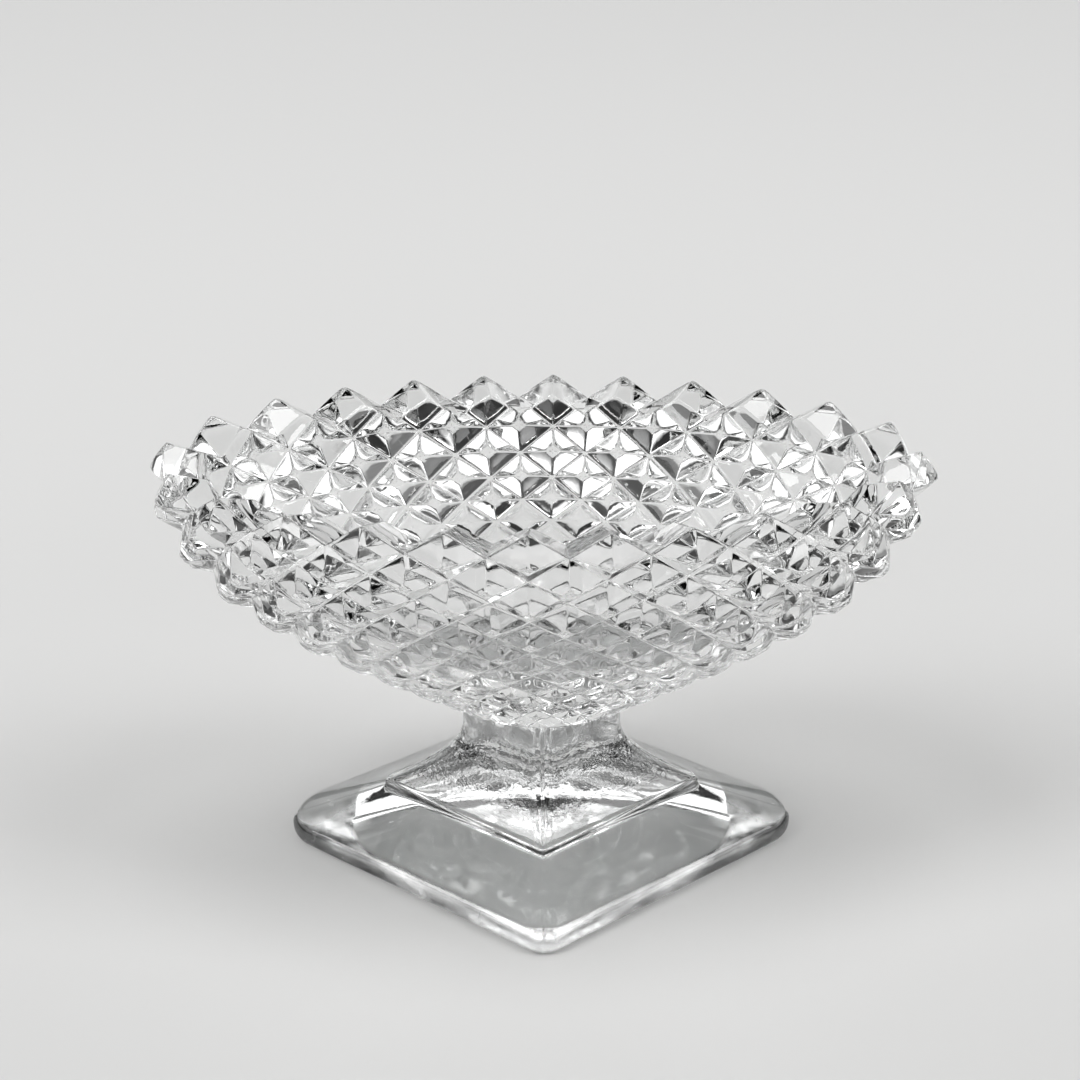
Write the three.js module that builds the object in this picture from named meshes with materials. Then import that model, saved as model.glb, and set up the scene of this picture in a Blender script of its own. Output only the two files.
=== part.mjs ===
// Footed open salt in colourless glass. A boat-shaped oval bowl is covered outside with rows of
// diamond points, which run up into a sawtooth rim, and it is joined hot to a moulded pedestal:
// a coved stem on a stepped, lozenge-shaped foot, which is hollow underneath.
// Millimetres, +Z up, +X along the bowl, origin at the middle of the foot's underside.
import * as THREE from 'three';

// Bowl: ellipses through the bottoms of the grooves between the points
const RIM_HEIGHT = 48.3;
const RIM_HALF_LENGTH = 39;
const RIM_HALF_WIDTH = 19.65;
const BASE_HALF_LENGTH = 9;
const BASE_HALF_WIDTH = 7;
// How soon the bowl swells out above its base, where 1 would be a straight cone
const END_SWELL = 2.3;
const SIDE_SWELL = 1.45;

// Bowl: diamond points and rim teeth
const POINTS_AROUND = 24;
const POINT_PHASE = -0.2; // place of the first tooth from the +X end, in tooth pitches
const TOOTH_HEIGHT = 2.8;
const DIAMOND_TALLNESS = 0.79; // height of a diamond over its width, near the rim
const TALLNESS_GAIN = 1; // how much that has grown at the base
const TALLNESS_POWER = 6; // how late it grows on the way down
const POINT_LEFT_AT_BASE = 0.3; // part of a point's height that is left at the base
const GROOVE_ANGLE = THREE.MathUtils.degToRad(84);

// Bowl: inside
const WALL = 3.5; // from the bottom of a groove to the inside
const FLOOR = 4.2; // from the joint up to the inside
const FLOOR_ROUNDING = 5; // height over which the inside floor curves into the wall
const RIDGE_FALL = 1.1; // how far the ridge of a tooth falls towards the inside
const VALLEY_FALL = 0.4; // the same for the valley between two teeth
const INSIDE_RINGS = 11;

// Joint between the bowl and the pedestal
const JOINT_HEIGHT = 18.4;

// Pedestal: half diagonals of its lozenge sections before their corners are rounded
const FOOT_HALF_LENGTH = 31.9;
const FOOT_HALF_WIDTH = 23.1;
const FOOT_SIDE_HEIGHT = 2.2;
const FOOT_EDGE = 0.9; // rounding of the foot's upper and lower edges
const STEP_HALF_LENGTH = 18.7;
const STEP_HALF_WIDTH = 14;
const STEP_BASE_HEIGHT = 6.1;
const STEP_RISE = 1;
const STEP_EDGE = 0.5; // rounding along the top of the step
const EDGE_STEPS = 3;
const NECK_HALF_LENGTH = 10.5;
const NECK_HALF_WIDTH = 7.4;
const NECK_STRAIGHT = 3.4; // upright part of the stem below the joint
const COVE_HOLLOW = 3.9; // height at which the cove's two end slopes meet, above the step
const COVE_RINGS = 10;

// Pedestal: corner radii at the long ends and at the sides
const FOOT_END_RADIUS = 4.9;
const FOOT_SIDE_RADIUS = 2.6;
const STEP_END_RADIUS = 1.5;
const STEP_SIDE_RADIUS = 0.8;
const NECK_END_RADIUS = 2.5;
const NECK_SIDE_RADIUS = 2;
const CORNER_STEPS = 6;

// Pedestal: domed hollow in the underside, inside the flat ring that the salt stands on
const RING_WIDTH = 3;
const HOLLOW_DEPTH = 3.5;
const HOLLOW_END_RADIUS = 8;
const HOLLOW_SIDE_RADIUS = 3;
const HOLLOW_RINGS = 8;

const BELOW = new THREE.Vector3(0, 0, -1);
const ABOVE = new THREE.Vector3(0, 0, 1);

// Collects triangles of a closed surface, each turned to face the way it is told
class Surface {
  constructor() {
    this.positions = [];
  }

  // Adds a triangle whose face looks along the direction given
  triangle(a, b, c, facing) {
    const normal = new THREE.Vector3().subVectors(b, a).cross(new THREE.Vector3().subVectors(c, a));
    const ordered = normal.dot(facing) > 0 ? [a, b, c] : [a, c, b];
    for (const point of ordered) this.positions.push(point.x, point.y, point.z);
  }

  // Joins two rings of equally many points, side by side round the Z axis
  band(ring, nextRing, facingAt) {
    for (let i = 0; i < ring.length; i++) {
      const j = (i + 1) % ring.length;
      const facing = facingAt(ring[i], ring[j], nextRing[i]);
      this.triangle(ring[i], ring[j], nextRing[j], facing);
      this.triangle(ring[i], nextRing[j], nextRing[i], facing);
    }
  }

  // Closes a ring with a fan from a point in its middle
  cap(ring, middle, facing) {
    for (let i = 0; i < ring.length; i++) {
      this.triangle(ring[i], ring[(i + 1) % ring.length], middle, facing);
    }
  }

  geometry() {
    const geometry = new THREE.BufferGeometry();
    geometry.setAttribute('position', new THREE.Float32BufferAttribute(this.positions, 3));
    geometry.computeVertexNormals();
    return geometry;
  }
}

// Direction square to a band, pointing away from the Z axis
function awayFromAxis(a, b, c) {
  const normal = new THREE.Vector3().subVectors(b, a).cross(new THREE.Vector3().subVectors(c, a));
  const outward = new THREE.Vector3(a.x + b.x, a.y + b.y, 0);
  return normal.dot(outward) < 0 ? normal.negate() : normal;
}

// Direction square to a band, pointing towards the Z axis
function towardsAxis(a, b, c) {
  return awayFromAxis(a, b, c).negate();
}

// How far down the bowl a height lies, from the rim, 0, to the joint, 1
function partDown(z) {
  return Math.max((RIM_HEIGHT - z) / (RIM_HEIGHT - JOINT_HEIGHT), 0);
}

// Half length or half width of the groove surface at a height
function swell(rimHalf, baseHalf, power) {
  return (z) => rimHalf - (rimHalf - baseHalf) * partDown(z) ** power;
}

const halfLengthAt = swell(RIM_HALF_LENGTH, BASE_HALF_LENGTH, END_SWELL);
const halfWidthAt = swell(RIM_HALF_WIDTH, BASE_HALF_WIDTH, SIDE_SWELL);

// Places on an ellipse spaced by equal lengths of arc, counted in tooth pitches
function ellipsePoints(halfLength, halfWidth, pitches, heightOf) {
  const curve = new THREE.EllipseCurve(0, 0, halfLength, halfWidth);
  return pitches.map((pitch) => {
    const part = THREE.MathUtils.euclideanModulo((pitch + POINT_PHASE) / POINTS_AROUND, 1);
    const point = curve.getPointAt(part);
    return new THREE.Vector3(point.x, point.y, heightOf(pitch));
  });
}

// One row of places on the groove surface, in line with the teeth or half a pitch aside
function grooveRow(z, aside) {
  const pitches = Array.from({ length: POINTS_AROUND }, (_, i) => i + aside);
  return ellipsePoints(halfLengthAt(z), halfWidthAt(z), pitches, () => z);
}

// Heights of the rows of crossings, from the tooth tips down to the joint.
// Below the teeth each row is as tall as its diamonds are wide, times their tallness.
function rowHeights() {
  const top = RIM_HEIGHT - TOOTH_HEIGHT;
  const steps = 400;
  const meanHalf = (z) => (halfLengthAt(z) + halfWidthAt(z)) / 2;
  const passed = [{ z: top, rows: 0 }];
  for (let k = 1; k <= steps; k++) {
    const z = top + ((JOINT_HEIGHT - top) * k) / steps;
    const last = passed[k - 1];
    const slope = Math.hypot(last.z - z, meanHalf(last.z) - meanHalf(z));
    const round = new THREE.EllipseCurve(0, 0, halfLengthAt(z), halfWidthAt(z)).getLength();
    const tallness = DIAMOND_TALLNESS + TALLNESS_GAIN * partDown(z) ** TALLNESS_POWER;
    const rowHeight = (tallness * round) / POINTS_AROUND / 2;
    passed.push({ z, rows: last.rows + slope / rowHeight });
  }
  const total = passed[steps].rows;
  const count = Math.max(2, Math.round(total));
  const heights = [RIM_HEIGHT, top];
  for (let row = 1; row < count; row++) {
    heights.push(passed.find((place) => place.rows >= (total * row) / count).z);
  }
  heights.push(JOINT_HEIGHT);
  return heights;
}

// Top of one diamond point, over the middle of the four crossings round it, and blunter towards the base
function pointTip(middle, top, bottom, left, right) {
  const across = new THREE.Vector3().subVectors(right, left);
  const upright = new THREE.Vector3().subVectors(top, bottom);
  const normal = new THREE.Vector3().crossVectors(across, upright).normalize();
  if (normal.dot(new THREE.Vector3(middle.x, middle.y, 0)) < 0) normal.negate();
  const halfAcross = across.length() / 2;
  const halfUpright = upright.length() / 2;
  const toGroove = (halfAcross * halfUpright) / Math.hypot(halfAcross, halfUpright);
  const blunting = THREE.MathUtils.lerp(1, POINT_LEFT_AT_BASE, partDown(middle.z) ** 2);
  return middle.clone().addScaledVector(normal, (blunting * toGroove) / Math.tan(GROOVE_ANGLE / 2));
}

// Outside of the bowl: one four-sided point in each mesh of the crossing grooves
function addDiamondPoints(surface, rows, middles) {
  const lastRow = rows.length - 1;
  for (let row = 1; row <= lastRow; row++) {
    for (let i = 0; i < POINTS_AROUND; i++) {
      const shift = row % 2;
      const top = rows[row - 1][i];
      const left = rows[row][(i + POINTS_AROUND - shift) % POINTS_AROUND];
      const right = rows[row][(i + 1 - shift) % POINTS_AROUND];
      const facing = awayFromAxis(left, right, top);
      if (row === lastRow) {
        surface.triangle(top, left, right, facing);
        continue;
      }
      const bottom = rows[row + 1][i];
      const tip = pointTip(middles[row][i], top, bottom, left, right);
      for (const [from, to] of [[top, left], [left, bottom], [bottom, right], [right, top]]) {
        surface.triangle(from, to, tip, facing);
      }
    }
  }
}

// Half length or half width of the inside: the groove surface moved in by the wall, square to it
function insideHalf(halfAt, z) {
  const slopeStep = 0.01;
  const fromOutside = (outerZ) => {
    const lean = (halfAt(outerZ + slopeStep) - halfAt(outerZ)) / slopeStep;
    const length = Math.hypot(lean, 1);
    return { half: halfAt(outerZ) - WALL / length, z: outerZ + (WALL * lean) / length };
  };
  let low = JOINT_HEIGHT;
  let high = RIM_HEIGHT;
  for (let k = 0; k < 40; k++) {
    const middle = (low + high) / 2;
    if (fromOutside(middle).z < z) low = middle;
    else high = middle;
  }
  const floorPart = Math.min((z - JOINT_HEIGHT - FLOOR) / FLOOR_ROUNDING, 1);
  return fromOutside(low).half * Math.sqrt(1 - (1 - floorPart) ** 2);
}

// Inside of the bowl as rings of points, in line with the teeth and the valleys of the rim
function insideRings() {
  const pitches = Array.from({ length: 2 * POINTS_AROUND }, (_, i) => i / 2);
  const isTooth = (pitch) => Number.isInteger(pitch);
  const ridgeHeight = RIM_HEIGHT - RIDGE_FALL;
  const valleyHeight = RIM_HEIGHT - TOOTH_HEIGHT - VALLEY_FALL;
  const ring = (z, heightOf) =>
    ellipsePoints(insideHalf(halfLengthAt, z), insideHalf(halfWidthAt, z), pitches, heightOf);
  const rings = [ring(valleyHeight, (pitch) => (isTooth(pitch) ? ridgeHeight : valleyHeight))];
  const floorHeight = JOINT_HEIGHT + FLOOR;
  for (let k = INSIDE_RINGS - 1; k > 0; k--) {
    const part = (k / INSIDE_RINGS) ** 1.7;
    const z = floorHeight + (valleyHeight - floorHeight) * part;
    rings.push(ring(z, () => z));
  }
  return rings;
}

// The bowl: diamond points outside, gabled teeth along the rim, smooth inside, flat base
function bowlGeometry() {
  const surface = new Surface();
  const heights = rowHeights();
  const rows = heights.map((z, row) => grooveRow(z, (row % 2) / 2));
  const middles = heights.map((z, row) => grooveRow(z, ((row + 1) % 2) / 2));
  addDiamondPoints(surface, rows, middles);
  const outerRim = rows[0].flatMap((tooth, i) => [tooth, rows[1][i]]);
  const inside = insideRings();
  surface.band(outerRim, inside[0], () => ABOVE);
  for (let k = 1; k < inside.length; k++) surface.band(inside[k], inside[k - 1], towardsAxis);
  surface.cap(inside[inside.length - 1], new THREE.Vector3(0, 0, JOINT_HEIGHT + FLOOR), ABOVE);
  surface.cap(rows[rows.length - 1], new THREE.Vector3(0, 0, JOINT_HEIGHT), BELOW);
  return surface.geometry();
}

// A level lozenge with rounded corners
function lozenge({ z, halfLength, halfWidth, endRadius, sideRadius }) {
  const edgeTurn = Math.atan2(halfLength, halfWidth);
  const endCentre = halfLength - endRadius / Math.cos(edgeTurn);
  const sideCentre = halfWidth - sideRadius / Math.sin(edgeTurn);
  const corners = [
    { x: endCentre, y: 0, radius: endRadius, from: -edgeTurn, to: edgeTurn },
    { x: 0, y: sideCentre, radius: sideRadius, from: edgeTurn, to: Math.PI - edgeTurn },
    { x: -endCentre, y: 0, radius: endRadius, from: Math.PI - edgeTurn, to: Math.PI + edgeTurn },
    { x: 0, y: -sideCentre, radius: sideRadius, from: Math.PI + edgeTurn, to: 2 * Math.PI - edgeTurn },
  ];
  return corners.flatMap(({ x, y, radius, from, to }) =>
    Array.from({ length: CORNER_STEPS + 1 }, (_, k) => {
      const turn = THREE.MathUtils.lerp(from, to, k / CORNER_STEPS);
      return new THREE.Vector3(x + radius * Math.cos(turn), y + radius * Math.sin(turn), z);
    }),
  );
}

// How far the straight edges of a lozenge lie from the Z axis
function edgeDistance({ halfLength, halfWidth }) {
  return (halfLength * halfWidth) / Math.hypot(halfLength, halfWidth);
}

// The same lozenge with its edges moved in
function movedIn(section, inset) {
  const part = 1 - inset / edgeDistance(section);
  return {
    z: section.z,
    halfLength: section.halfLength * part,
    halfWidth: section.halfWidth * part,
    endRadius: section.endRadius - inset,
    sideRadius: section.sideRadius - inset,
  };
}

// A section part of the way from one to another
function between(section, other, part) {
  const sizes = Object.keys(section).map((size) => [
    size,
    THREE.MathUtils.lerp(section[size], other[size], part),
  ]);
  return Object.fromEntries(sizes);
}

// Sections along a curve that leaves one section for a corner and turns there to reach another
function bend(start, corner, end, steps) {
  return Array.from({ length: steps + 1 }, (_, k) => {
    const part = k / steps;
    return between(between(start, corner, part), between(corner, end, part), part);
  });
}

// Sections that round off a corner of the profile, at most up to the middle of its two sides
function rounded(before, corner, after, size) {
  const along = (side) => {
    const length = Math.hypot(side.z - corner.z, edgeDistance(side) - edgeDistance(corner));
    return between(corner, side, Math.min(size / length, 0.5));
  };
  return bend(along(before), corner, along(after), EDGE_STEPS);
}

// Section of the foot's upright side
function foot(z) {
  return {
    z,
    halfLength: FOOT_HALF_LENGTH,
    halfWidth: FOOT_HALF_WIDTH,
    endRadius: FOOT_END_RADIUS,
    sideRadius: FOOT_SIDE_RADIUS,
  };
}

// Sections of the hollow in the underside, from its middle out to the flat ring round it
function hollowSections() {
  const edge = {
    ...movedIn(foot(0), RING_WIDTH),
    endRadius: HOLLOW_END_RADIUS,
    sideRadius: HOLLOW_SIDE_RADIUS,
  };
  const middle = { z: HOLLOW_DEPTH, halfLength: 0, halfWidth: 0, endRadius: 0, sideRadius: 0 };
  return Array.from({ length: HOLLOW_RINGS }, (_, k) => {
    const part = (k + 1) / HOLLOW_RINGS;
    return { ...between(middle, edge, part), z: HOLLOW_DEPTH * (1 - part ** 2) };
  });
}

// Sections of the foot, its step and the coved stem, from the underside to the joint
function pedestalSections() {
  const step = (z) => ({
    z,
    halfLength: STEP_HALF_LENGTH,
    halfWidth: STEP_HALF_WIDTH,
    endRadius: STEP_END_RADIUS,
    sideRadius: STEP_SIDE_RADIUS,
  });
  const neck = (z) => ({
    z,
    halfLength: NECK_HALF_LENGTH,
    halfWidth: NECK_HALF_WIDTH,
    endRadius: NECK_END_RADIUS,
    sideRadius: NECK_SIDE_RADIUS,
  });
  const underside = movedIn(foot(0), 2 * FOOT_EDGE);
  const footTop = foot(FOOT_SIDE_HEIGHT);
  const stepBase = step(STEP_BASE_HEIGHT);
  const stepTop = step(STEP_BASE_HEIGHT + STEP_RISE);
  const stepInner = movedIn(stepTop, STEP_EDGE);
  const coveCorner = neck(stepTop.z + COVE_HOLLOW);
  const coveEnd = neck(JOINT_HEIGHT - NECK_STRAIGHT);
  return [
    ...rounded(underside, foot(0), footTop, FOOT_EDGE),
    ...rounded(foot(0), footTop, stepBase, FOOT_EDGE),
    stepBase,
    ...bend(step(stepTop.z - STEP_EDGE), stepTop, stepInner, EDGE_STEPS),
    ...bend(stepInner, coveCorner, coveEnd, COVE_RINGS).slice(1),
    neck(JOINT_HEIGHT),
  ];
}

// The pedestal: a loft through its lozenge sections, from the hollow over the ring to the joint
function pedestalGeometry() {
  const surface = new Surface();
  const hollow = hollowSections().map(lozenge);
  const outside = pedestalSections().map(lozenge);
  surface.cap(hollow[0], new THREE.Vector3(0, 0, HOLLOW_DEPTH), BELOW);
  for (let k = 1; k < hollow.length; k++) surface.band(hollow[k - 1], hollow[k], towardsAxis);
  surface.band(hollow[hollow.length - 1], outside[0], () => BELOW);
  for (let k = 1; k < outside.length; k++) surface.band(outside[k - 1], outside[k], awayFromAxis);
  surface.cap(outside[outside.length - 1], new THREE.Vector3(0, 0, JOINT_HEIGHT), ABOVE);
  return surface.geometry();
}

// A named mesh in its own clear glass
function glassPiece(name, geometry, colour, roughness) {
  const material = new THREE.MeshStandardMaterial({
    color: colour,
    roughness,
    metalness: 0,
    transparent: true,
    opacity: 0.4,
  });
  const piece = new THREE.Mesh(geometry, material);
  piece.name = name;
  return piece;
}

const saltCellar = new THREE.Group();
saltCellar.name = 'salt_cellar';
saltCellar.add(glassPiece('bowl', bowlGeometry(), 0xeff3f2, 0.03));
saltCellar.add(glassPiece('pedestal', pedestalGeometry(), 0xe6ebea, 0.06));

export default saltCellar;
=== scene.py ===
import math

import bmesh
import bpy
import numpy as np
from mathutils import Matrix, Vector, noise


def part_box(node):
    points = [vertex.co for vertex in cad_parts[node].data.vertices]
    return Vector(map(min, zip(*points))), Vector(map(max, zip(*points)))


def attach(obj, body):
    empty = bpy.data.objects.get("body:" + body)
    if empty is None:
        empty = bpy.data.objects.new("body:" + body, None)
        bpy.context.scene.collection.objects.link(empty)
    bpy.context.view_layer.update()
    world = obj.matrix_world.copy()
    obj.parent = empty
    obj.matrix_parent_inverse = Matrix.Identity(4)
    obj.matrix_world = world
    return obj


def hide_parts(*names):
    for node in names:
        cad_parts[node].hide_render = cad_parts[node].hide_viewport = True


MM = 0.001
SEED = 7

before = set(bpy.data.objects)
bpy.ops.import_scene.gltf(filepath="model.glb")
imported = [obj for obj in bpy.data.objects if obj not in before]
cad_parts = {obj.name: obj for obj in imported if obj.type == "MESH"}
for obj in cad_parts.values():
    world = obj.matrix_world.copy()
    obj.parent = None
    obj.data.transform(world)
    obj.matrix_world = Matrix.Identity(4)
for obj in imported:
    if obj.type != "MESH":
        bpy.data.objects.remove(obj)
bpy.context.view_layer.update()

# Bowl, as in the CAD model: ellipses through the bottoms of the grooves
RIM_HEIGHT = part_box("bowl")[1].z / MM
JOINT_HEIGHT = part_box("pedestal")[1].z / MM
RIM_HALF_LENGTH = 39
RIM_HALF_WIDTH = 19.65
BASE_HALF_LENGTH = 9
BASE_HALF_WIDTH = 7
END_SWELL = 2.3
SIDE_SWELL = 1.45

# Diamond points and rim teeth, as in the CAD model
POINTS_AROUND = 24
POINT_PHASE = -0.2
TOOTH_HEIGHT = 2.8
DIAMOND_TALLNESS = 0.79
TALLNESS_GAIN = 1
TALLNESS_POWER = 6

# The grooves are a little wider than in the CAD model, so that the upper faces of the points throw
# light back and the lower ones show what is behind, as the photograph shows
GROOVE_ANGLE = math.radians(91.5)

# Shape of one point: rings from its tip, 0, out to the grooves round it, 1, and places along a
# quarter of a ring from one ridge to the middle of a face. Both crowd where the glass is rounded.
POINT_RINGS = (0.07, 0.13, 0.17, 0.2, 0.235, 0.28, 0.5, 0.74, 0.84, 0.92, 0.975, 1)
RIDGE_STEPS = (0, 0.012, 0.027, 0.055, 0.17, 0.33, 0.5)
RIDGE_STEP_LIMITS = (0, 0.06, 0.12, 0.18, 0.27, 0.38, 0.5)
RIDGE_SOFTNESS = 0.02
GROOVE_SOFTNESS = 0.02  # millimetres
BLUNT_GROOVE_SOFTNESS = 0.35
TIP_SOFTNESS = 0.035
BLUNT_TIP_SOFTNESS = 0.5
# Row, and the part of its points' height that is left below their flat tips
TIP_LEFT = ((1, 0.88), (2, 0.8), (4, 0.77), (6, 0.64), (9, 0.43), (12, 0.32))
SHARP_TIP_LEFT = 0.8  # tips that have less than this left are rounder
TIP_LEFT_SPREAD = 0.04
TIP_DRIFT = 0.03
TIP_WEAR = 0.012
TIP_WEAR_FADE = 0.04
TOOTH_SOFTNESS = 0.07
TOOTH_FADE_POWER = 3

# Fineness of the tables and samples that space the points, and of the keys that find shared places
ELLIPSE_STEPS = 1440
LEAST_ASPECT = 0.3
ASPECT_STEPS = 70
PART_STEPS = 960
HEIGHT_STEPS = 400
WALL_SAMPLES = 600
SLOPE_STEP = 0.01
EDGE_DECIMALS = 9
KEYS_PER_PITCH = 1e5
ROW_MARGIN = 1e-6

# Edges that turn by more than this are left sharp
SHARP_ANGLE = math.radians(60)

# Inside of the bowl, as in the CAD model, and the rounding of its rim
WALL = 3.5
BOTTOM = 4.2
BOTTOM_ROUNDING = 5
RIDGE_FALL = 1.1
VALLEY_FALL = 0.4
RIM_OUTER_ROUNDING = 0.16
RIM_INNER_ROUNDING = 0.3
RIM_OVERHANG = 0.02  # how far the lower edge of the rounding stands out, in parts of the rim's width
ROUNDING_STEPS = 4
WALL_RINGS = 26
BOTTOM_RINGS = 16
TOOTH_FADE_RINGS = 8

# Pedestal, as in the CAD model
FOOT_HALF_LENGTH = 31.9
FOOT_HALF_WIDTH = 23.1
FOOT_SIDE_HEIGHT = 2.2
FOOT_EDGE = 0.9
STEP_HALF_LENGTH = 18.7
STEP_HALF_WIDTH = 14
STEP_BASE_HEIGHT = 6.1
STEP_RISE = 1
STEP_EDGE = 0.5
NECK_HALF_LENGTH = 10.5
NECK_HALF_WIDTH = 7.4
NECK_STRAIGHT = 3.4
COVE_HOLLOW = 3.9
FOOT_END_RADIUS = 4.9
FOOT_SIDE_RADIUS = 2.6
STEP_END_RADIUS = 1.5
STEP_SIDE_RADIUS = 0.8
NECK_END_RADIUS = 2.5
NECK_SIDE_RADIUS = 2
RING_WIDTH = 3
HOLLOW_DEPTH = 3.5
HOLLOW_END_RADIUS = 8
HOLLOW_SIDE_RADIUS = 3

# Pedestal: fineness, mould seams and ripples
CORNER_STEPS = 20
SIDE_STEPS = 16
COVE_STEPS = 30
EDGE_STEPS = 7
HOLLOW_STEPS = 40
RING_SPACING = 0.35
STEP_FILLET = 0.4  # hollow rounding at the bottom of the step
SEAM_HEIGHT = 0.15
SEAM_HALF_WIDTH = 0.14
SEAM_FADE = 1  # length over which the corner falls back beside its seam
MOULD_SLIP = 0.18  # how far the mould's front half stands out, and its back half in, at the ends
SLIP_LENGTH = 2.4
CORNER_CROWDING = 1.7  # how much the places on a corner crowd at its seam
NOTCH_DEPTH = 0.16  # groove between the two halves at the ends
NOTCH_HALF_WIDTH = 0.22
RIPPLE_HEIGHT = 0.03
RIPPLE_LENGTH = 5
RIPPLE_FADE = 0.5  # height over which the ripple fades out at the two flat ends

# Glass: colour, and the scale and strength of its fine ripple
BOWL_GLASS = ((0.985, 0.99, 0.988), 700, 0.02)
PEDESTAL_GLASS = ((0.975, 0.985, 0.982), 1200, 0.03)
GLASS_IOR = 1.52
FINE_RIPPLE_DETAIL = 3
BUMP_DEPTH = 0.2  # millimetres

# Handling wear: the part of the noise that shows as wear, and how rough it is there
WEAR_SCALE = 160
WEAR_DETAIL = 4
WEAR_LIMITS = (0.45, 0.8)
WEAR_ROUGHNESS = 0.09

# Grain of the stem: its heights from clear to grained at the lower and the upper end, in millimetres
GRAIN_LIMITS = ((6.8, 9), (17.5, 14.5))
GRAIN_SCALE = 2200
GRAIN_DETAIL = 2
GRAIN_STRENGTH = 0.3

# Scuffs on the ring that the foot stands on
SCUFF_HEIGHT = 0.15
SCUFF_SCALE = 900
SCUFF_DETAIL = 2
SCUFF_ROUGHNESS = 0.4

# Camera at the photograph's view: its place, in millimetres, and its pitch, before the yaw turns it
# round the Z axis
CAMERA_PLACE = (-0.172, -163.93, 123.33)
CAMERA_PITCH = 0.4833
CAMERA_YAW = -0.012
CAMERA_LENS = 58.3
CLIP_START = 0.01  # metres

# Floor, in metres
FLOOR_HALF = 2
FLOOR_GAP = 0.05 * MM  # between the floor and the foot
FLOOR_TONES = ((0.635, 0.635, 0.63, 1), (0.665, 0.665, 0.66, 1))
FLOOR_ROUGHNESS = 0.35
MOTTLE_SCALE = 9
PAINTED_SHADE_REACH = (0.54, 0.72)  # where painted shade starts to darken the pale floor, and where it has darkened it fully
# Painted shade: the colour the far floor darkens to, standing in for the dark room round it
FAR_PAINTED_SHADE = (0.03, 0.03, 0.03, 1)

# Soft boxes: name, place and size in metres, and power in watts
LAMPS = (
    ("left_box", (-2.25, -0.75, 3.0), (1.2, 2.6), 66),
    ("right_box", (2.25, -0.45, 3.0), (1.2, 2.6), 49),
    ("top_box", (0, 0.3, 3.6), (1.4, 1.0), 24),
)
LAMP_AIM = (0, 0, 0.03)
LIGHT_BOUNCES = 32

# Brightness of the room by the height of the view, the sine of its angle over the horizon
ROOM_BY_HEIGHT = ((0, 0.04), (0.2, 0.03), (0.25, 1.4), (0.5, 1.4), (0.58, 0.02))


# Groove surface of the bowl

def groove_halves(z):
    """Half length and half width of the groove surface at some heights."""
    below = np.clip((RIM_HEIGHT - z) / (RIM_HEIGHT - JOINT_HEIGHT), 0, None)
    length = RIM_HALF_LENGTH - (RIM_HALF_LENGTH - BASE_HALF_LENGTH) * below**END_SWELL
    width = RIM_HALF_WIDTH - (RIM_HALF_WIDTH - BASE_HALF_WIDTH) * below**SIDE_SWELL
    return length, width


def arc_lengths(half_length, half_width):
    """Turns round an ellipse and the length of arc up to each."""
    turn = np.linspace(0, 2 * math.pi, ELLIPSE_STEPS + 1)
    speed = np.hypot(half_length * np.sin(turn), half_width * np.cos(turn))
    steps = (speed[1:] + speed[:-1]) / 2 * (turn[1] - turn[0])
    return turn, np.concatenate(([0], np.cumsum(steps)))


def turn_table(aspects, parts):
    """Turns of places at equal lengths of arc, for ellipses of several aspects."""
    table = []
    for aspect in aspects:
        turn, arc = arc_lengths(1, aspect)
        table.append(np.interp(parts * arc[-1], arc, turn))
    return np.array(table)


ASPECTS = np.linspace(LEAST_ASPECT, 1, ASPECT_STEPS + 1)
PARTS = np.linspace(0, 1, PART_STEPS + 1)
TURNS = turn_table(ASPECTS, PARTS)


def ellipse_turns(aspect, pitches):
    """Turns of places spaced by equal lengths of arc, counted in tooth pitches."""
    along = np.mod((pitches + POINT_PHASE) / POINTS_AROUND, 1) * (len(PARTS) - 1)
    across = (aspect - ASPECTS[0]) / (ASPECTS[1] - ASPECTS[0])
    i, j = np.floor(across).astype(int), np.floor(along).astype(int)
    s, t = across - i, along - j
    low = TURNS[i, j] * (1 - t) + TURNS[i, j + 1] * t
    high = TURNS[i + 1, j] * (1 - t) + TURNS[i + 1, j + 1] * t
    return low * (1 - s) + high * s


def row_heights():
    """Rows of groove crossings, counted down from the tooth tips, and their heights."""
    top = RIM_HEIGHT - TOOTH_HEIGHT
    z = np.linspace(top, JOINT_HEIGHT, HEIGHT_STEPS + 1)
    length, width = groove_halves(z)
    slope = np.hypot(np.diff(z), np.diff((length + width) / 2))
    around = np.array([arc_lengths(a, b)[1][-1] for a, b in zip(length, width)])
    below = (RIM_HEIGHT - z) / (RIM_HEIGHT - JOINT_HEIGHT)
    tallness = DIAMOND_TALLNESS + TALLNESS_GAIN * below**TALLNESS_POWER
    row_height = tallness * around / POINTS_AROUND / 2
    rows = np.concatenate(([0], np.cumsum(slope / row_height[1:])))
    count = round(rows[-1])
    return np.concatenate(([0], 1 + rows * count / rows[-1])), np.concatenate(([RIM_HEIGHT], z))


ROWS, ROW_HEIGHTS = row_heights()
LAST_ROW = round(ROWS[-1])


def groove_places(pitches, rows):
    """Points of the groove surface and its outward directions."""
    z = np.interp(rows, ROWS, ROW_HEIGHTS)
    length, width = groove_halves(z)
    low_length, low_width = groove_halves(z - SLOPE_STEP)
    turn = ellipse_turns(width / length, pitches)
    x, y = length * np.cos(turn), width * np.sin(turn)
    lean = x**2 / length**3 * (length - low_length) + y**2 / width**3 * (width - low_width)
    outward = np.stack((x / length**2, y / width**2, -lean / SLOPE_STEP), axis=-1)
    outward /= np.linalg.norm(outward, axis=-1, keepdims=True)
    return np.stack((x, y, z), axis=-1), outward


# Diamond points

def soft(value, softness):
    """Distance from zero with its corner rounded off."""
    return np.sqrt(value**2 + softness**2)


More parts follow.
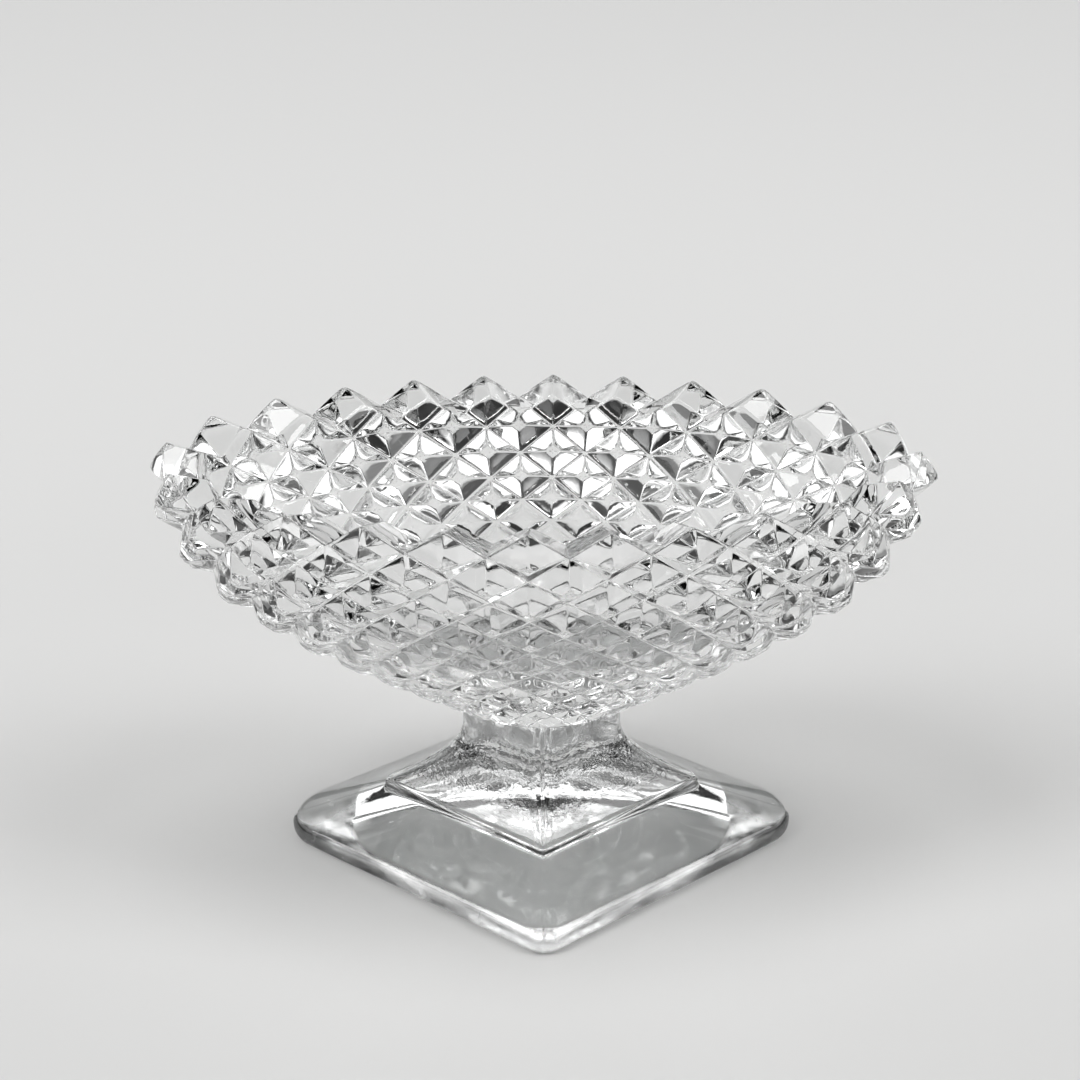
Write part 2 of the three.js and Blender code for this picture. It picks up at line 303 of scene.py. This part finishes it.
def quarter_steps(ring):
    """Places along a quarter of a ring of a point, from one ridge up to the next."""
    half = [min(step / ring, limit) for step, limit in zip(RIDGE_STEPS, RIDGE_STEP_LIMITS)]
    return half + [1 - step for step in half[-2:0:-1]]


def point_template():
    """Places across and down a diamond point, from -1 to 1, and the faces between them."""
    corners = np.array([(1, 0), (0, 1), (-1, 0), (0, -1)])
    places = [(0, 0)]
    faces = []
    for number, ring in enumerate(POINT_RINGS):
        for quarter in range(4):
            ridge, next_ridge = corners[quarter], corners[(quarter + 1) % 4]
            places += [(ridge + (next_ridge - ridge) * step) * ring for step in quarter_steps(ring)]
        count = 4 * len(quarter_steps(ring))
        first = 1 + number * count
        for i in range(count):
            j = (i + 1) % count
            if number == 0:
                faces.append((0, first + i, first + j, first + j))
            else:
                faces.append((first - count + i, first + i, first + j, first - count + j))
    return np.array(places), np.array(faces)


def point_rise(middle_pitch, middle_row):
    """Height of a sharp point over the groove surface."""
    def half_way(pitches, rows):
        start = groove_places(middle_pitch - pitches, middle_row - rows)[0]
        end = groove_places(middle_pitch + pitches, middle_row + rows)[0]
        return np.linalg.norm(end - start, axis=-1) / 2

    half_across, half_upright = half_way(0.5, 0), half_way(0, 1)
    to_groove = half_across * half_upright / np.hypot(half_across, half_upright)
    return to_groove / math.tan(GROOVE_ANGLE / 2)


def point_heights(across, down, rise, rows, chance):
    """Height of the points at places across and down each of them, rounder in the lower rows."""
    left = np.interp(rows, *zip(*TIP_LEFT))[:, None]
    left = left + chance.uniform(-TIP_LEFT_SPREAD, TIP_LEFT_SPREAD, (len(rise), 1))
    blunt = np.clip(SHARP_TIP_LEFT - left, 0, None)
    tip_softness = TIP_SOFTNESS + BLUNT_TIP_SOFTNESS * blunt
    inside = np.clip(1 - np.abs(across) - np.abs(down), 0, 1)
    across = across + inside * chance.normal(0, TIP_DRIFT, (len(rise), 1))
    down = down + inside * chance.normal(0, TIP_DRIFT, (len(rise), 1))
    mid_groove = 2 * soft(0.5, RIDGE_SOFTNESS)
    sharp = soft(across, RIDGE_SOFTNESS) + soft(down, RIDGE_SOFTNESS) - mid_groove
    height = np.clip(-sharp, 0, None)
    at_groove = (left - soft(left, tip_softness)) / 2
    height = (height + left - soft(height - left, tip_softness)) / 2 - at_groove
    near_tip = np.clip((inside - left) / TIP_WEAR_FADE + 1, 0, 1)
    height += near_tip * chance.normal(0, TIP_WEAR, height.shape)
    return soft(height * rise[:, None], GROOVE_SOFTNESS + BLUNT_GROOVE_SOFTNESS * blunt)


def soften_teeth(places, pitches, rows):
    """Rounds the tips of the rim's teeth."""
    from_tip = np.abs(pitches - np.round(pitches)) * 2
    drop = TOOTH_HEIGHT * (soft(from_tip, TOOTH_SOFTNESS) - from_tip)
    below_rim = np.clip(rows - from_tip, 0, 1)
    places[..., 2] -= drop * (1 - below_rim) ** TOOTH_FADE_POWER


# Meshes from rings of points

class Shell:
    """Collects the points and faces of one closed mesh."""

    def __init__(self):
        self.points = []
        self.faces = []
        self.joint_faces = []

    def add(self, points):
        """Adds points and gives back their numbers."""
        first = len(self.points)
        self.points.extend(map(tuple, points))
        return list(range(first, len(self.points)))

    def band(self, ring, next_ring):
        """Joins two rings of equally many points."""
        for i in range(len(ring)):
            j = (i + 1) % len(ring)
            self.faces.append((ring[i], ring[j], next_ring[j], next_ring[i]))

    def fan(self, ring, middle, faces=None):
        """Closes a ring to one point in its middle."""
        faces = self.faces if faces is None else faces
        for i in range(len(ring)):
            faces.append((ring[i], ring[(i + 1) % len(ring)], middle))

    def stitch(self, outer, inner):
        """Joins two rings of unlike counts, both in order of their turn round the Z axis."""
        def turned(ring):
            turns = [math.atan2(self.points[k][1], self.points[k][0]) for k in ring]
            start = int(np.argmin(turns))
            return ring[start:] + ring[:start], turns[start:] + turns[:start]

        outer, outer_turns = turned(outer)
        inner, inner_turns = turned(inner)
        i = j = 0
        while i < len(outer) or j < len(inner):
            next_outer = outer_turns[i + 1] if i + 1 < len(outer) else outer_turns[0] + 2 * math.pi
            next_inner = inner_turns[j + 1] if j + 1 < len(inner) else inner_turns[0] + 2 * math.pi
            a, b = outer[i % len(outer)], inner[j % len(inner)]
            if j == len(inner) or (i < len(outer) and next_outer <= next_inner):
                i += 1
                self.faces.append((a, outer[i % len(outer)], b))
            else:
                j += 1
                self.faces.append((a, inner[j % len(inner)], b))

    def piece(self, name, node, slot, glass, joint):
        """Makes the mesh a piece of the scene that stands for a CAD node."""
        mesh = bpy.data.meshes.new(name)
        mesh.from_pydata(np.array(self.points) * MM, [], self.faces + self.joint_faces)
        mesh.materials.append(glass)
        mesh.materials.append(joint)
        first_joint = len(self.faces)
        for polygon in mesh.polygons:
            polygon.use_smooth = True
            polygon.material_index = 1 if polygon.index >= first_joint else 0
        draft = bmesh.new()
        draft.from_mesh(mesh)
        unused = [point for point in draft.verts if not point.link_faces]
        bmesh.ops.delete(draft, geom=unused, context="VERTS")
        bmesh.ops.recalc_face_normals(draft, faces=draft.faces)
        draft.to_mesh(mesh)
        draft.free()
        mesh.set_sharp_from_angle(angle=SHARP_ANGLE)
        weight_normals(mesh)
        piece = bpy.data.objects.new(name, mesh)
        bpy.context.scene.collection.objects.link(piece)
        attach(piece, "root")
        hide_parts(node)


def weight_normals(mesh):
    """Turns each point's normal to its larger faces, so that facets stay flat up to their edges."""
    normals = np.zeros((len(mesh.vertices), 3))
    for polygon in mesh.polygons:
        normals[list(polygon.vertices)] += np.array(polygon.normal) * polygon.area
    normals /= np.linalg.norm(normals, axis=1, keepdims=True)
    mesh.normals_split_custom_set_from_vertices(normals)


def bend(start, corner, end, steps):
    """Rings or sections along a curve that leaves the first for a corner and turns to the last."""
    parts = np.linspace(0, 1, steps + 1)
    return [(1 - t) ** 2 * start + 2 * t * (1 - t) * corner + t**2 * end for t in parts]


def towards(start, end, distance):
    """Points a given distance along the way from one ring to another."""
    way = end - start
    return start + way / np.linalg.norm(way, axis=1, keepdims=True) * distance


# Bowl

def inside_halves(z):
    """Half length and half width of the inside at some heights."""
    outer_z = np.linspace(JOINT_HEIGHT, RIM_HEIGHT, WALL_SAMPLES)
    halves = []
    for half in groove_halves(outer_z):
        lean = np.gradient(half, outer_z)
        length = np.hypot(lean, 1)
        moved_half, moved_z = half - WALL / length, outer_z + WALL * lean / length
        order = np.argsort(moved_z)
        halves.append(np.interp(z, moved_z[order], moved_half[order]))
    part = np.clip((z - JOINT_HEIGHT - BOTTOM) / BOTTOM_ROUNDING, 0, 1)
    round_floor = np.sqrt(1 - (1 - part) ** 2)
    return halves[0] * round_floor, halves[1] * round_floor


def inside_ring(turn, z):
    """Points of the inside at given turns and heights."""
    length, width = inside_halves(z)
    return np.column_stack((length * np.cos(turn), width * np.sin(turn), z))


def add_points_outside(shell):
    """Adds the outside of the bowl, and gives back its rim, the rim's pitches, and its base."""
    template, template_faces = point_template()
    row, number = np.meshgrid(np.arange(1, LAST_ROW + 1), np.arange(POINTS_AROUND), indexing="ij")
    middle_row = row.ravel()
    middle_pitch = (number + (row + 1) % 2 / 2).ravel()
    across = np.repeat(template[None, :, 0], len(middle_row), axis=0)
    down = np.repeat(template[None, :, 1], len(middle_row), axis=0)
    pitches = middle_pitch[:, None] + across / 2
    rows = middle_row[:, None] + down
    ends_at_joint = middle_row == LAST_ROW

    rise = point_rise(middle_pitch, np.minimum(middle_row, LAST_ROW - 1))
    rise[ends_at_joint] = 0
    height = point_heights(across, down, rise, middle_row, np.random.default_rng(SEED))
    places, outward = groove_places(pitches, rows)
    places = places + outward * height[:, :, None]
    soften_teeth(places, pitches, rows)

    # Points that share a groove share the places along it, and the rim is the teeth's upper edges
    edge = template[-4 * len(quarter_steps(1)):, 0]
    edge = np.unique(np.round(edge, EDGE_DECIMALS))[:-1]
    rim_pitches = (np.arange(POINTS_AROUND)[:, None] + edge / 2).ravel()
    rim_rows = np.tile(np.abs(edge), POINTS_AROUND)
    all_pitches = np.concatenate((pitches.ravel(), rim_pitches))
    all_rows = np.concatenate((rows.ravel(), rim_rows))
    keys = np.column_stack((all_pitches % POINTS_AROUND, all_rows)) * KEYS_PER_PITCH
    keys = np.round(keys).astype(int)
    keys[:, 0] %= round(POINTS_AROUND * KEYS_PER_PITCH)
    _, first, shared = np.unique(keys, axis=0, return_index=True, return_inverse=True)
    shared = shared.ravel()
    kept = places.reshape(-1, 3)[first]
    numbers = shared[:pitches.size].reshape(pitches.shape)
    rim = [int(k) for k in shared[pitches.size:]]
    base = np.unique(numbers[np.isclose(rows, LAST_ROW)])
    kept[base, 2] = JOINT_HEIGHT
    shell.add(kept)

    for point in range(len(middle_row)):
        for face in template_faces:
            if rows[point, face].max() < LAST_ROW + ROW_MARGIN:
                shell.faces.append(tuple(dict.fromkeys(numbers[point, face].tolist())))
    turn = np.arctan2(kept[base, 1], kept[base, 0])
    return rim, rim_pitches, base[np.argsort(turn)].tolist()


def add_rim_and_inside(shell, rim, pitches):
    """Adds the gabled rim and the smooth inside of the bowl."""
    columns = len(rim)
    outer = np.array([shell.points[k] for k in rim])
    from_tip = np.abs(pitches - np.round(pitches)) * 2
    valley_height = RIM_HEIGHT - TOOTH_HEIGHT - VALLEY_FALL
    tooth_rise = TOOTH_HEIGHT + VALLEY_FALL - RIDGE_FALL
    inner_z = valley_height + tooth_rise * (1 - soft(from_tip, TOOTH_SOFTNESS))
    length, width = inside_halves(np.array([valley_height]))
    turn = ellipse_turns(np.repeat(width / length, columns), pitches)
    inner = inside_ring(turn, inner_z)
    below = inside_ring(turn, inner_z - RIM_INNER_ROUNDING)

    rings = [rim]
    start = towards(outer, inner, RIM_OUTER_ROUNDING)
    lower = outer - np.array([0, 0, RIM_OUTER_ROUNDING])
    lower += (outer - inner) * [1, 1, 0] * RIM_OVERHANG
    for number, place in zip(rim, lower):
        shell.points[number] = tuple(place)
    for ring in bend(lower, outer, start, ROUNDING_STEPS)[1:]:
        rings.append(shell.add(ring))
    rings.append(shell.add((start + inner) / 2))
    end = towards(inner, outer, RIM_INNER_ROUNDING)
    rings.append(shell.add(end))
    for ring in bend(end, inner, below, ROUNDING_STEPS)[1:]:
        rings.append(shell.add(ring))

    floor_height = JOINT_HEIGHT + BOTTOM
    floor_top = floor_height + BOTTOM_ROUNDING
    wall_top = valley_height - RIM_INNER_ROUNDING
    for k in range(1, WALL_RINGS + 1):
        z = wall_top + (floor_top - wall_top) * k / WALL_RINGS
        fade = max(0, 1 - k / TOOTH_FADE_RINGS) ** 2
        rings.append(shell.add(inside_ring(turn, z + (inner_z - valley_height) * fade)))
    for k in range(1, BOTTOM_RINGS):
        swing = math.pi / 2 * (1 - k / BOTTOM_RINGS)
        z = floor_height + BOTTOM_ROUNDING * (1 - math.cos(swing))
        rings.append(shell.add(inside_ring(turn, np.full(columns, z))))
    for ring, next_ring in zip(rings, rings[1:]):
        shell.band(ring, next_ring)
    middle = shell.add([(0, 0, floor_height)])[0]
    shell.fan(rings[-1], middle)


def make_bowl(glass, joint):
    """The bowl, closed below by a ring to the pedestal's outline and the joint inside it."""
    shell = Shell()
    rim, rim_pitches, base = add_points_outside(shell)
    add_rim_and_inside(shell, rim, rim_pitches)
    seat = shell.add(lozenge(pedestal_sections()[-1]))
    shell.stitch(base, seat)
    middle = shell.add([(0, 0, JOINT_HEIGHT)])[0]
    shell.fan(seat, middle, shell.joint_faces)
    shell.piece("diamond_point_bowl", "bowl", "bowl_glass", glass, joint)


# Pedestal: a section is a row of height, half length, half width, end radius and side radius

def corner_reach(at_end, facing, from_seam, radius):
    """How far a corner's arc reaches out, with the marks of the mould's two halves."""
    if not at_end:
        crest = np.exp(-((from_seam / SEAM_HALF_WIDTH) ** 2))
        return radius + SEAM_HEIGHT * (crest - np.exp(-((from_seam / SEAM_FADE) ** 2)))
    half = np.tanh(-from_seam * math.cos(facing) / NOTCH_HALF_WIDTH)
    slip = MOULD_SLIP * half * np.exp(-((from_seam / SLIP_LENGTH) ** 2))
    return radius + slip - NOTCH_DEPTH * np.exp(-((from_seam / NOTCH_HALF_WIDTH) ** 2))


def lozenge(section):
    """A level lozenge with rounded corners, where the halves of the mould meet."""
    z, half_length, half_width, end_radius, side_radius = section
    edge_turn = math.atan2(half_length, half_width)
    end_middle = half_length - end_radius / math.cos(edge_turn)
    side_middle = half_width - side_radius / math.sin(edge_turn)
    spread = np.linspace(-1, 1, CORNER_STEPS + 1)
    spread = np.sign(spread) * np.abs(spread) ** CORNER_CROWDING
    corners = []
    for quarter in range(4):
        at_end = quarter % 2 == 0
        radius = end_radius if at_end else side_radius
        middle = end_middle if at_end else side_middle
        half_arc = edge_turn if at_end else math.pi / 2 - edge_turn
        facing = quarter * math.pi / 2
        turn = facing + spread * half_arc
        reach = corner_reach(at_end, facing, spread * half_arc * radius, radius)
        x = middle * math.cos(facing) + reach * np.cos(turn)
        y = middle * math.sin(facing) + reach * np.sin(turn)
        corners.append(np.column_stack((x, y, np.full_like(x, z))))
    points = []
    parts = np.linspace(0, 1, SIDE_STEPS + 1)[1:-1, None]
    for corner, next_corner in zip(corners, corners[1:] + corners[:1]):
        points.append(corner)
        points.append(corner[-1] + (next_corner[0] - corner[-1]) * parts)
    return np.concatenate(points)


def edge_distance(section):
    """How far the straight edges of a lozenge lie from the Z axis."""
    return section[1] * section[2] / np.hypot(section[1], section[2])


def moved_in(section, inset):
    """The same lozenge with its edges moved in."""
    z, half_length, half_width, end_radius, side_radius = section
    part = 1 - inset / edge_distance(section)
    radii = end_radius - inset, side_radius - inset
    return np.array((z, half_length * part, half_width * part, *radii))


def rounded(before, corner, after, size):
    """Sections that round off a corner of the profile."""
    def along(side):
        length = np.hypot(side[0] - corner[0], edge_distance(side) - edge_distance(corner))
        return corner + (side - corner) * min(size / length, 0.5)

    return bend(along(before), corner, along(after), EDGE_STEPS)


def filled(sections):
    """The same sections with more between those that lie far apart."""
    full = [sections[0]]
    for section in sections[1:]:
        way = section - full[-1]
        count = max(1, math.ceil(np.hypot(way[0], way[2]) / RING_SPACING))
        full += [full[-1] + way * k / count for k in range(1, count)] + [section]
    return full


def pedestal_sections():
    """Sections of the foot, its step and the coved stem, from the underside to the joint."""
    def foot(z):
        return np.array((z, FOOT_HALF_LENGTH, FOOT_HALF_WIDTH, FOOT_END_RADIUS, FOOT_SIDE_RADIUS))

    def step(z):
        return np.array((z, STEP_HALF_LENGTH, STEP_HALF_WIDTH, STEP_END_RADIUS, STEP_SIDE_RADIUS))

    def neck(z):
        return np.array((z, NECK_HALF_LENGTH, NECK_HALF_WIDTH, NECK_END_RADIUS, NECK_SIDE_RADIUS))

    step_height = STEP_BASE_HEIGHT + STEP_RISE
    foot_base, foot_top = foot(0), foot(FOOT_SIDE_HEIGHT)
    hollow_edge = moved_in(foot_base, RING_WIDTH)
    hollow_edge[3:] = HOLLOW_END_RADIUS, HOLLOW_SIDE_RADIUS
    step_base, step_top = step(STEP_BASE_HEIGHT), step(step_height)
    step_inner = moved_in(step_top, STEP_EDGE)
    cove_end = neck(JOINT_HEIGHT - NECK_STRAIGHT)
    sections = []
    for part in np.linspace(0, 1, HOLLOW_STEPS + 1)[1:]:
        section = hollow_edge * part
        section[0] = HOLLOW_DEPTH * (1 - part**2)
        sections.append(section)
    sections += rounded(moved_in(foot_base, 2 * FOOT_EDGE), foot_base, foot_top, FOOT_EDGE)
    sections += rounded(foot_base, foot_top, step_base, FOOT_EDGE)
    sections += rounded(foot_top, step_base, step_top, STEP_FILLET)
    sections += bend(step(step_height - STEP_EDGE), step_top, step_inner, EDGE_STEPS)
    sections += bend(step_inner, neck(step_height + COVE_HOLLOW), cove_end, COVE_STEPS)[1:]
    sections.append(neck(JOINT_HEIGHT))
    return filled(sections)


def rippled(points):
    """Points moved by the slow ripple of a moulded surface, but not those on the two flat ends."""
    moved = []
    for x, y, z in points:
        free = min(1, z / RIPPLE_FADE, (JOINT_HEIGHT - z) / RIPPLE_FADE)
        swell = noise.noise(Vector((x, y, z)) / RIPPLE_LENGTH) - 1
        ripple = swell * RIPPLE_HEIGHT * max(free, 0)
        out = 1 + ripple / max(math.hypot(x, y), 1)
        moved.append((x * out, y * out, z))
    return moved


def make_pedestal(glass, joint):
    """The pedestal, closed by the hollow underside and the joint."""
    shell = Shell()
    rings = [shell.add(rippled(lozenge(section))) for section in pedestal_sections()]
    for ring, next_ring in zip(rings, rings[1:]):
        shell.band(ring, next_ring)
    underside, top = shell.add([(0, 0, HOLLOW_DEPTH), (0, 0, JOINT_HEIGHT)])
    shell.fan(rings[0], underside)
    shell.fan(rings[-1], top, shell.joint_faces)
    shell.piece("stem_and_foot", "pedestal", "pedestal_glass", glass, joint)


# Materials

def node_material(name):
    """A new material and its node tree."""
    material = bpy.data.materials.new(name)
    material.use_nodes = True
    return material, material.node_tree


def own_place(tree):
    """Adds the place of a point in its piece's own frame."""
    return tree.nodes.new("ShaderNodeTexCoord").outputs["Object"]


def own_height(tree):
    """Adds the height of a point in its piece's own frame."""
    split = tree.nodes.new("ShaderNodeSeparateXYZ")
    tree.links.new(own_place(tree), split.inputs["Vector"])
    return split.outputs["Z"]


def add_noise(tree, scale, detail):
    """Adds a noise that keeps to the piece."""
    texture = tree.nodes.new("ShaderNodeTexNoise")
    texture.inputs["Scale"].default_value = scale
    texture.inputs["Detail"].default_value = detail
    tree.links.new(own_place(tree), texture.inputs["Vector"])
    return texture.outputs["Fac"]


def add_range(tree, value, limits, top=1):
    """Adds a node that takes a value from between two limits to between 0 and a top."""
    node = tree.nodes.new("ShaderNodeMapRange")
    node.inputs["From Min"].default_value, node.inputs["From Max"].default_value = limits
    node.inputs["To Max"].default_value = top
    tree.links.new(value, node.inputs["Value"])
    return node.outputs["Result"]


def add_math(tree, operation, first, second):
    """Adds a node that works out one number from two."""
    node = tree.nodes.new("ShaderNodeMath")
    node.operation = operation
    tree.links.new(first, node.inputs[0])
    tree.links.new(second, node.inputs[1])
    return node.outputs["Value"]


def add_bump(tree, height, strength):
    """Adds a bump to the shader, over the one that it has."""
    normal = tree.nodes["Principled BSDF"].inputs["Normal"]
    bump = tree.nodes.new("ShaderNodeBump")
    bump.inputs["Strength"].default_value = strength
    bump.inputs["Distance"].default_value = BUMP_DEPTH * MM
    tree.links.new(height, bump.inputs["Height"])
    if normal.is_linked:
        tree.links.new(normal.links[0].from_socket, bump.inputs["Normal"])
    tree.links.new(bump.outputs["Normal"], normal)


def glass_material(name, colour, ripple_scale, ripple_strength):
    """Clear pressed glass with a faint ripple and a little handling wear."""
    material, tree = node_material(name)
    shader = tree.nodes["Principled BSDF"]
    shader.inputs["Base Color"].default_value = (*colour, 1)
    shader.inputs["Transmission Weight"].default_value = 1
    shader.inputs["IOR"].default_value = GLASS_IOR
    wear = add_noise(tree, WEAR_SCALE, WEAR_DETAIL)
    tree.links.new(add_range(tree, wear, WEAR_LIMITS, WEAR_ROUGHNESS), shader.inputs["Roughness"])
    add_bump(tree, add_noise(tree, ripple_scale, FINE_RIPPLE_DETAIL), ripple_strength)
    return material


def add_grain(material):
    """Adds the fine grain that the mould left on the stem, between the step and the bowl."""
    tree = material.node_tree
    grain = add_noise(tree, GRAIN_SCALE, GRAIN_DETAIL)
    for clear, grained in GRAIN_LIMITS:
        mask = add_range(tree, own_height(tree), (clear * MM, grained * MM))
        grain = add_math(tree, "MULTIPLY", grain, mask)
    add_bump(tree, grain, GRAIN_STRENGTH)


def add_scuffs(material):
    """Adds the scuffs of use on the ring that the foot stands on."""
    tree = material.node_tree
    roughness = tree.nodes["Principled BSDF"].inputs["Roughness"]
    wear = roughness.links[0].from_socket
    ring = add_range(tree, own_height(tree), (SCUFF_HEIGHT * MM, 0), SCUFF_ROUGHNESS)
    scuffs = add_math(tree, "MULTIPLY", ring, add_noise(tree, SCUFF_SCALE, SCUFF_DETAIL))
    tree.links.new(add_math(tree, "MAXIMUM", wear, scuffs), roughness)


def joint_material():
    """The fused joint inside the glass, which light passes straight through."""
    material, tree = node_material("fused_joint")
    through = tree.nodes.new("ShaderNodeBsdfTransparent")
    tree.links.new(through.outputs["BSDF"], tree.nodes["Material Output"].inputs["Surface"])
    tree.nodes.remove(tree.nodes["Principled BSDF"])
    return material


def floor_material():
    """Pale matt board with a faint mottle, and painted shade that darkens it into the dark room
    further off.
    """
    material, tree = node_material("pale_floor")
    shader = tree.nodes["Principled BSDF"]
    shader.inputs["Roughness"].default_value = FLOOR_ROUGHNESS
    mottle = tree.nodes.new("ShaderNodeTexNoise")
    mottle.inputs["Scale"].default_value = MOTTLE_SCALE
    tone = tree.nodes.new("ShaderNodeValToRGB")
    tone.color_ramp.elements[0].color, tone.color_ramp.elements[1].color = FLOOR_TONES
    tree.links.new(mottle.outputs["Fac"], tone.inputs["Fac"])
    # Painted shade: the floor's colour darkens with its distance from the salt, standing in for the
    # unlit room further off
    reach = tree.nodes.new("ShaderNodeVectorMath")
    reach.operation = "LENGTH"
    tree.links.new(own_place(tree), reach.inputs[0])
    painted_shade_mix = tree.nodes.new("ShaderNodeMix")
    painted_shade_mix.data_type = "RGBA"
    painted_shade_mix.inputs["B"].default_value = FAR_PAINTED_SHADE
    tree.links.new(add_range(tree, reach.outputs["Value"], PAINTED_SHADE_REACH), painted_shade_mix.inputs["Factor"])
    tree.links.new(tone.outputs["Color"], painted_shade_mix.inputs["A"])
    tree.links.new(painted_shade_mix.outputs["Result"], shader.inputs["Base Color"])
    return material


# Studio

def make_floor():
    """A level square floor just under the foot."""
    mesh = bpy.data.meshes.new("floor")
    half, z = FLOOR_HALF, -FLOOR_GAP
    corners = [(-half, -half, z), (half, -half, z), (half, half, z), (-half, half, z)]
    mesh.from_pydata(corners, [], [(0, 1, 2, 3)])
    mesh.materials.append(floor_material())
    floor = bpy.data.objects.new("floor", mesh)
    bpy.context.scene.collection.objects.link(floor)


def make_lamp(name, place, size, power):
    """A soft box at a place in metres, turned towards the salt."""
    lamp = bpy.data.lights.new(name, "AREA")
    lamp.shape = "RECTANGLE"
    lamp.size, lamp.size_y = size
    lamp.energy = power
    holder = bpy.data.objects.new(name, lamp)
    holder.location = place
    aim = Vector(LAMP_AIM) - Vector(place)
    holder.rotation_euler = aim.to_track_quat("-Z", "Y").to_euler()
    bpy.context.scene.collection.objects.link(holder)


def grey_ramp(nodes, stops):
    """A ramp of greys with the given places and brightnesses."""
    node = nodes.new("ShaderNodeValToRGB")
    ramp = node.color_ramp
    ramp.elements.remove(ramp.elements[1])
    for number, (place, grey) in enumerate(stops):
        stop = ramp.elements.new(place) if number else ramp.elements[0]
        stop.position = place
        stop.color = (grey, grey, grey, 1)
    return node


def make_world():
    """A plain dark room with a band of soft light all round it."""
    world = bpy.data.worlds.new("room")
    bpy.context.scene.world = world
    world.use_nodes = True
    nodes, links = world.node_tree.nodes, world.node_tree.links
    place = nodes.new("ShaderNodeTexCoord")
    split = nodes.new("ShaderNodeSeparateXYZ")
    by_height = grey_ramp(nodes, ROOM_BY_HEIGHT)
    links.new(place.outputs["Generated"], split.inputs["Vector"])
    links.new(split.outputs["Z"], by_height.inputs["Fac"])
    links.new(by_height.outputs["Color"], nodes["Background"].inputs["Color"])


def make_camera():
    """The camera, at the photograph's view of the salt."""
    camera = bpy.data.cameras.new("camera")
    camera.lens = CAMERA_LENS
    holder = bpy.data.objects.new("camera", camera)
    x, y, z = CAMERA_PLACE
    turn_cos, turn_sin = math.cos(CAMERA_YAW), math.sin(CAMERA_YAW)
    place = Vector((x * turn_cos - y * turn_sin, x * turn_sin + y * turn_cos, z))
    holder.location = place * MM
    holder.rotation_euler = (math.pi / 2 - CAMERA_PITCH, 0, CAMERA_YAW)
    camera.clip_start = CLIP_START
    bpy.context.scene.collection.objects.link(holder)
    bpy.context.scene.camera = holder


joint_glass = joint_material()
bowl_glass = glass_material("clear_faceted_glass", *BOWL_GLASS)
pedestal_glass = glass_material("clear_moulded_glass", *PEDESTAL_GLASS)
add_grain(pedestal_glass)
add_scuffs(pedestal_glass)
make_bowl(bowl_glass, joint_glass)
make_pedestal(pedestal_glass, joint_glass)

make_floor()
make_world()
for lamp in LAMPS:
    make_lamp(*lamp)
make_camera()
bpy.context.scene.view_settings.view_transform = "Standard"
bpy.context.scene.cycles.max_bounces = LIGHT_BOUNCES
bpy.context.scene.cycles.transmission_bounces = LIGHT_BOUNCES
